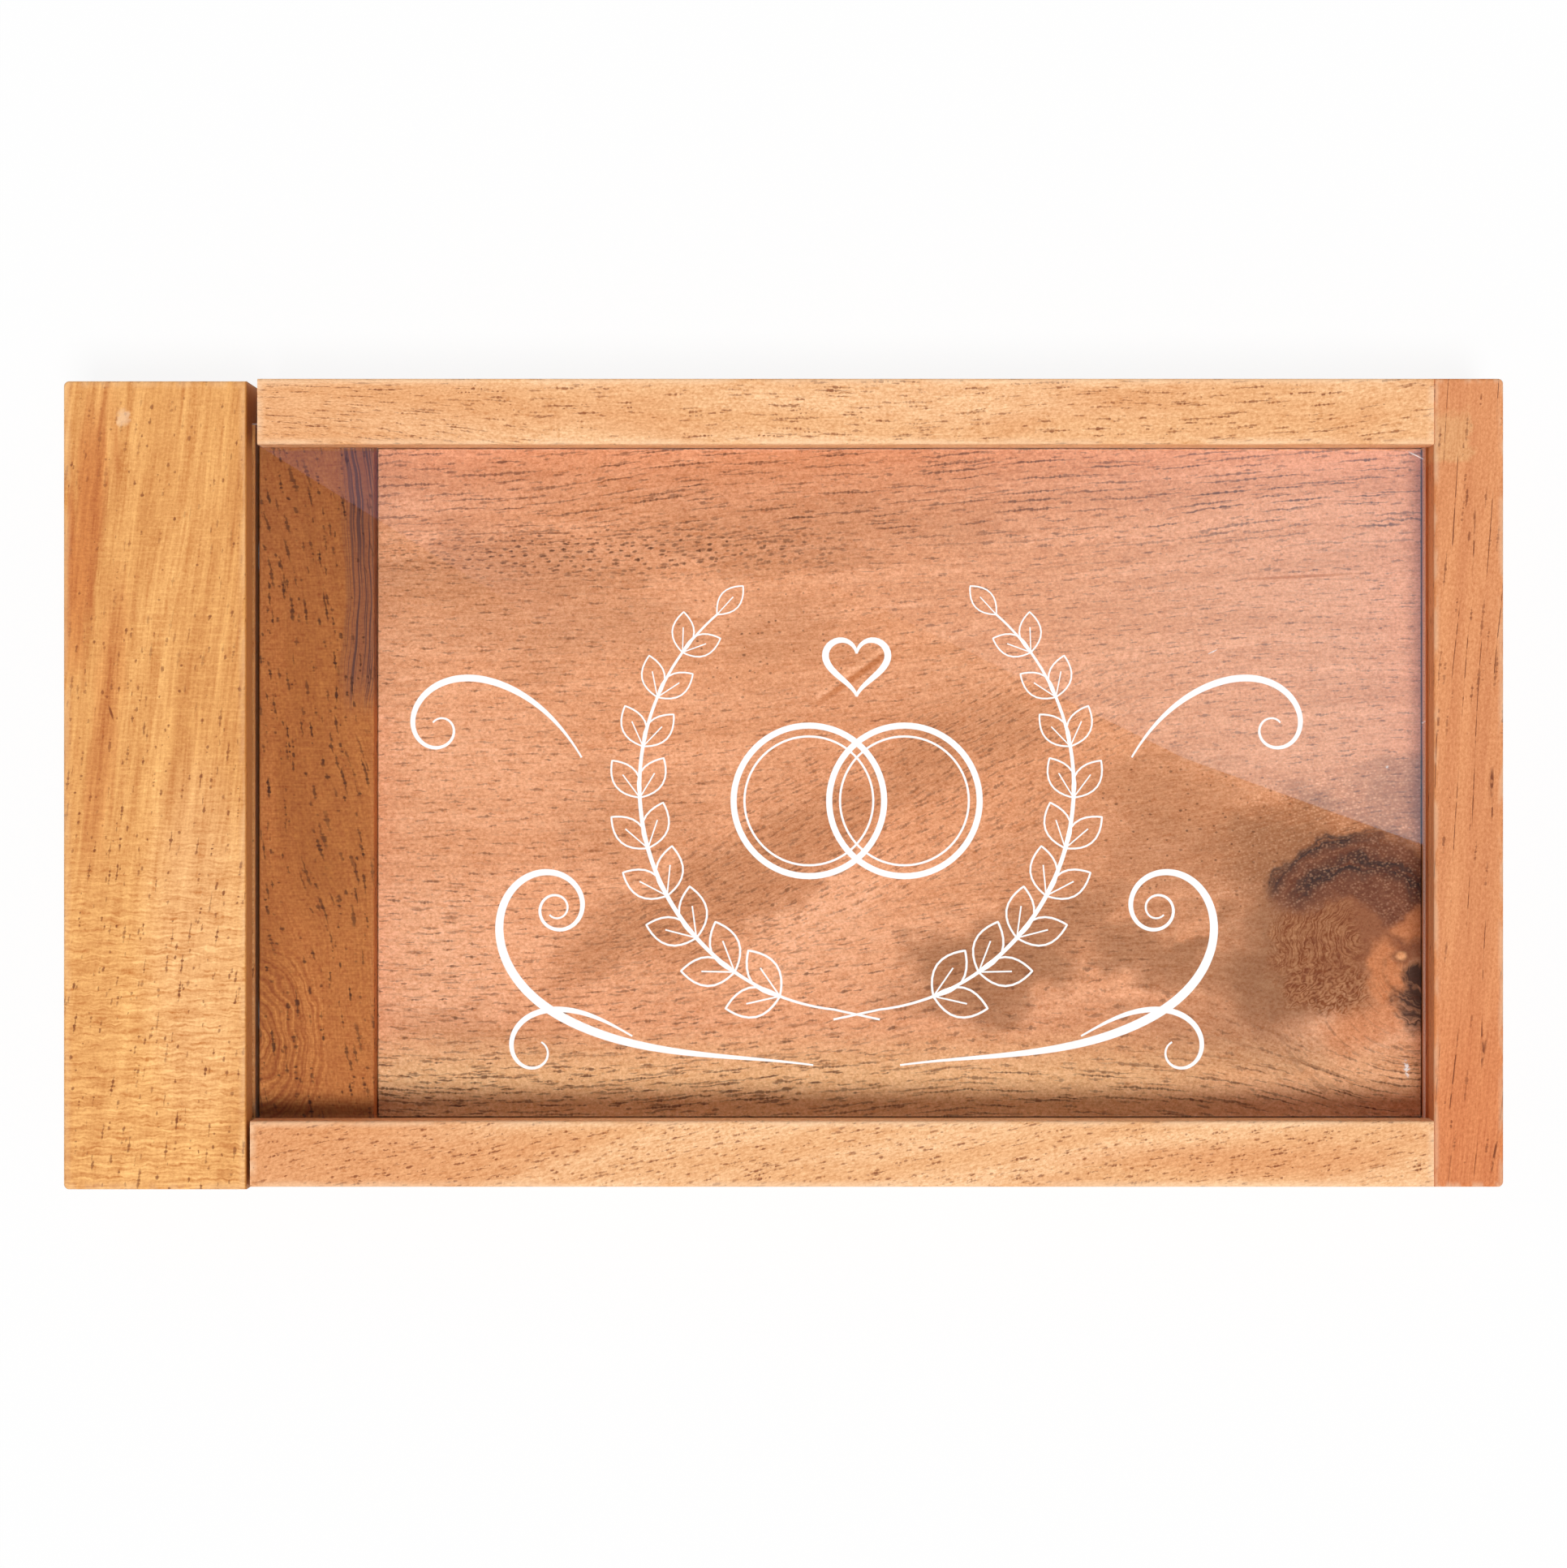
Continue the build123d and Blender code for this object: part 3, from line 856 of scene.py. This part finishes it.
sockets = {"Curve": stem, "Count": given.output("Leaves")}
stem = given.node("GeometryNodeResampleCurve", {"mode": "COUNT"}, sockets)
along = given.node("GeometryNodeSplineParameter", out="Factor")
size = given.output("Leaf length") * (1.0 - along * 0.35)
tangent = given.node("GeometryNodeInputTangent")
aim = given.node("FunctionNodeAlignRotationToVector", {"axis": "X"}, {"Vector": tangent})
tip = along.maths("GREATER_THAN", along, 0.999)
bare = along.maths("LESS_THAN", along, 0.11)
sprays = given.node("GeometryNodeJoinGeometry")
layer = 1.0
for side in (-1.0, 1.0, 0.0):
    by = x.vector(0.0, 0.0, given.output("Leaf angle") * side)
    turn = aim.node("FunctionNodeRotateRotation", {}, {"Rotation": aim, "Rotate By": by})
    chosen = tip if side == 0.0 else 1.0 - tip.most(bare)
    for leaf_line in leaf_lines:
        sockets = {"Points": stem, "Selection": chosen, "Instance": leaf_line}
        sockets |= {"Rotation": turn, "Scale": size}
        leaves = given.node("GeometryNodeInstanceOnPoints", {}, sockets)
        leaves = given.node("GeometryNodeRealizeInstances", {}, {"Geometry": leaves})
        spray_tree.links.new(lay_flat(leaves, given, layer).socket, sprays.socket.node.inputs[0])
        layer += 1.0
end_tree(sprays, given)


def ring(middle, radius, pen):
    """A circle of one even stroke, in millimetres."""
    points = []
    count = 72
    for step in range(count):
        turn = math.tau * step / count
        across = middle[0] + radius * math.cos(turn)
        deep = middle[1] + radius * math.sin(turn)
        points.append((across, deep, pen))
    return points


def swelled(points, thin, thick, peak=0.42):
    """Gives a line a pen stroke that starts and ends thin and is thickest at its peak."""
    stroke = []
    for number_along, (across, deep) in enumerate(points):
        share = number_along / (len(points) - 1)
        share = share / peak / 2 if share < peak else 0.5 + (share - peak) / (1 - peak) / 2
        pen = thin + (thick - thin) * math.sin(math.pi * share) ** 1.5
        stroke.append((across, deep, pen))
    return stroke


def swash(start, heading, bends):
    """A flourish: each bend is a length in millimetres and the curvature it eases to."""
    across, deep = start
    turn = math.radians(heading)
    points = [(across, deep)]
    bend = bends[0][1]
    for length, wanted in bends[1:]:
        count = max(6, round(length * 2.5))
        for step in range(count):
            here = bend + (wanted - bend) * (step + 0.5) / count
            turn += here * length / count
            across += math.cos(turn) * length / count
            deep += math.sin(turn) * length / count
            points.append((across, deep))
        bend = wanted
    return points


def half_heart(middle, scale):
    """Half of the common heart curve, from its notch to its point."""
    points = []
    count = 32
    for step in range(count + 1):
        t = math.pi * step / count
        across = 16 * math.sin(t) ** 3
        deep = 13 * math.cos(t) - 5 * math.cos(2 * t) - 2 * math.cos(3 * t) - math.cos(4 * t)
        points.append((middle[0] + scale * across, middle[1] + scale * deep))
    return points


def both_sides(strokes):
    """The strokes and their mirror images to the left."""
    return strokes + [[(-across, deep, pen) for across, deep, pen in stroke] for stroke in strokes]


def ink_white():
    material, x, y, z = start_material("ink_white")
    full_white = (0.97, 0.965, 0.95)
    thin_white = (0.88, 0.86, 0.83)
    grain = cloud(x, y, z, 0.3, 0.3, 3.0, 0.7)
    thin = cloud(x, y, z, 5.0, 3.0, 2.0)
    worn = grain.step(0.5, 0.75) * 0.4 + thin.step(0.55, 0.75) * 0.2
    colour = x.tint(full_white, thin_white, worn)
    relief = x.node("ShaderNodeBump", {}, {"Strength": 0.4, "Distance": 0.00001, "Height": grain})
    sockets = {"Base Color": colour, "Roughness": 0.45 + grain * 0.2, "IOR": 1.4, "Normal": relief}
    return end_material(material, x.node("ShaderNodeBsdfPrincipled", {}, sockets))


ornament_middle = (10.0, -0.5)
_, pane_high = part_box("acrylic_pane")
ink_sizes = {
    "Pane top": pane_high.z,
    "Film": 0.00003,
    "Key depth": 0.00001,
    "Material": ink_white(),
}


def print_ink(name, tree, strokes, closed, sizes):
    """Runs a tree over pen lines in millimetres, and keeps a plain piece that rides the lid."""
    corners, edges, pens, layers = [], [], [], []
    for layer, stroke in enumerate(strokes):
        first = len(corners)
        for across, deep, pen in stroke:
            place_x = (ornament_middle[0] + across) / millimetres
            place_y = (ornament_middle[1] + deep) / millimetres
            corners.append((place_x, place_y, pane_high.z))
            pens.append(pen / millimetres)
            layers.append(float(layer))
        edges += [(corner, corner + 1) for corner in range(first, len(corners) - 1)]
        if closed:
            edges.append((len(corners) - 1, first))
    mesh = bpy.data.meshes.new(name + "_lines")
    mesh.from_pydata(corners, edges, [])
    mesh.attributes.new("pen", "FLOAT", "POINT").data.foreach_set("value", pens)
    mesh.attributes.new("layer", "FLOAT", "POINT").data.foreach_set("value", layers)
    lines = add_object(name + "_lines", mesh)
    modifier = lines.modifiers.new("ink", "NODES")
    modifier.node_group = tree
    sizes = ink_sizes | sizes
    for socket in tree.interface.items_tree:
        if socket.name in sizes:
            modifier[socket.identifier] = sizes[socket.name]
    seen = lines.evaluated_get(bpy.context.evaluated_depsgraph_get())
    piece = add_object(name, bpy.data.meshes.new_from_object(seen))
    piece.data.name = name
    bpy.data.objects.remove(lines)
    piece.visible_shadow = False
    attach(piece, "lid")


# A stem starts past the middle, and then follows an oval up the right side.
stem_start = (-3.2, -32.2)
stem_oval = (30.0, 31.0)
stem_steps = 60
stem_points = [stem_start]
for step in range(stem_steps + 1):
    turn = math.radians(-84.0 + 134.0 * step / stem_steps)
    stem_points.append((stem_oval[0] * math.cos(turn), stem_oval[1] * math.sin(turn)))
spray_stem = swelled(stem_points, 0.3, 0.6)

ring_spread = 6.6
ring_bands = ((10.4, 0.85), (8.9, 0.3))
loops = []
for side in (-1, 1):
    for radius, ring_pen in ring_bands:
        loops.append(ring((side * ring_spread, -2.0), radius, ring_pen))
print_ink("ornament_rings", stroke_tree, loops, True, {})

long_scroll = [(0, -0.012), (34, 0.03), (18, 0.10), (16, 0.22), (12, 0.42), (9, 0.75)]
small_curl = [(0, 0.0), (12, -0.10), (10, -0.30), (8, -0.6)]
side_scroll = [(0, -0.03), (16, -0.06), (12, -0.16), (10, -0.4), (6, -0.7)]
strokes = [
    swelled(half_heart((0.0, 17.0), 0.27), 0.3, 0.95, 0.5),
    spray_stem,
    swelled(swash((6.0, -38.5), 8.0, long_scroll), 0.25, 1.25),
    swelled(swash((31.0, -34.5), 30.0, small_curl), 0.25, 0.8),
    swelled(swash((38.0, 4.0), 60.0, side_scroll), 0.25, 0.95),
]
print_ink("ornament_flourishes", stroke_tree, both_sides(strokes), False, {})

spray_sizes = {
    "Leaves": 12,
    "Leaf length": 0.0082,
    "Leaf pen": 0.00032,
    "Leaf angle": math.radians(34.0),
}
print_ink("ornament_leaves", spray_tree, both_sides([spray_stem]), False, spray_sizes)


# Table top: a plain white sheet, lit so evenly that it is almost shadowless. It isn't
# part of the box, and lies a hair below it so that no two faces share a plane.
table_half = 4.0
table_gap = 0.0001


def flat_sheet(name, outline, height, material):
    """A level sheet of this outline, height and material, in metres."""
    mesh = bpy.data.meshes.new(name)
    corners = [(across, deep, height) for across, deep in outline]
    mesh.from_pydata(corners, [], [tuple(range(len(corners)))])
    mesh.materials.append(material)
    return add_object(name, mesh)


def white_paper():
    material, x, _, _ = start_material("white_paper")
    seen = x.node("ShaderNodeLightPath", out="Is Camera Ray")
    seen = seen.most(seen.output("Is Glossy Ray")).most(seen.output("Is Transmission Ray"))
    lit = x.node("ShaderNodeBsdfDiffuse", {}, {"Color": (0.9, 0.9, 0.9, 1.0)})
    glow = x.node("ShaderNodeEmission", {}, {"Color": (1.0, 1.0, 1.0, 1.0), "Strength": 1.0})
    return end_material(material, x.node("ShaderNodeMixShader", {}, {0: seen * 0.9, 1: lit, 2: glow}))


table_outline = [
    (-table_half, -table_half),
    (table_half, -table_half),
    (table_half, table_half),
    (-table_half, table_half),
]
table = flat_sheet("table", table_outline, cad_low.z - table_gap, white_paper())


# Light: a wide soft key from above and a little in front, and an even fill from all
# round that is dim straight overhead, where the camera hangs.
world = bpy.data.worlds.new("studio")
world.use_nodes = True
bpy.context.scene.world = world
sky = Wire(world.node_tree)
world.node_tree.nodes.clear()
_, _, up = sky.node("ShaderNodeTexCoord", out="Generated").parts()
overhead = up.step(0.80, 0.95)
camera_ray = up.node("ShaderNodeLightPath", out="Is Camera Ray")
fill_strength = 0.485
strength = (fill_strength * (1.0 - overhead * 0.97)).most(camera_ray)
backdrop = up.node("ShaderNodeBackground", {}, {"Color": (1.0, 1.0, 1.0, 1.0), "Strength": strength})
sky_end = world.node_tree.nodes.new("ShaderNodeOutputWorld")
world.node_tree.links.new(backdrop.socket, sky_end.inputs["Surface"])

key_data = bpy.data.lights.new("key", "SUN")
key_data.energy = 0.70 * math.pi
key_data.angle = math.radians(16.0)
key = add_object("key", key_data)
key.rotation_mode = "QUATERNION"
key.rotation_quaternion = Vector((0.07, -0.25, 0.96)).to_track_quat("Z", "Y")


# Two cool bounce cards hang over the rear corners and show as the haze in the pane: a
# strong one on the right, and a weak one over the cross wall.
card_height = 0.66


def card_light(name, colour, strength, dim, bright):
    """A glow that fades from 1 at bright to almost nothing at dim, in millimetres along x."""
    material, x, _, _ = start_material(name)
    faintest = 0.04
    fade = x.step(dim, bright) * (1.0 - faintest) + faintest
    sockets = {"Color": x.tint((0.0, 0.0, 0.0), colour, fade), "Strength": strength}
    return end_material(material, x.node("ShaderNodeEmission", {}, sockets))


def bounce_card(name, outline, light):
    """A card that only gloss shows: it neither lights the box nor stands in the picture."""
    card = flat_sheet(name, outline, card_height, light)
    card.visible_camera = False
    card.visible_diffuse = False
    card.visible_shadow = False
    card.visible_transmission = False


right_outline = [
    (-0.16, 0.42),
    (0.42, 0.42),
    (0.42, -0.115),
    (0.1685, -0.0180),
    (0.0996, 0.0070),
    (-0.16, 0.135),
]
left_outline = [
    (-0.26, 0.30),
    (-0.06, 0.30),
    (-0.06, 0.0335),
    (-0.1253, 0.0743),
    (-0.1549, 0.0927),
    (-0.26, 0.158),
]
right_light = card_light("right_card_light", (0.16, 0.66, 1.0), 1.5, -20.0, 180.0)
left_light = card_light("left_card_light", (0.45, 0.55, 1.0), 0.5, -60.0, -135.0)
bounce_card("right_card", right_outline, right_light)
bounce_card("left_card", left_outline, left_light)

bpy.context.scene.view_settings.view_transform = "Standard"
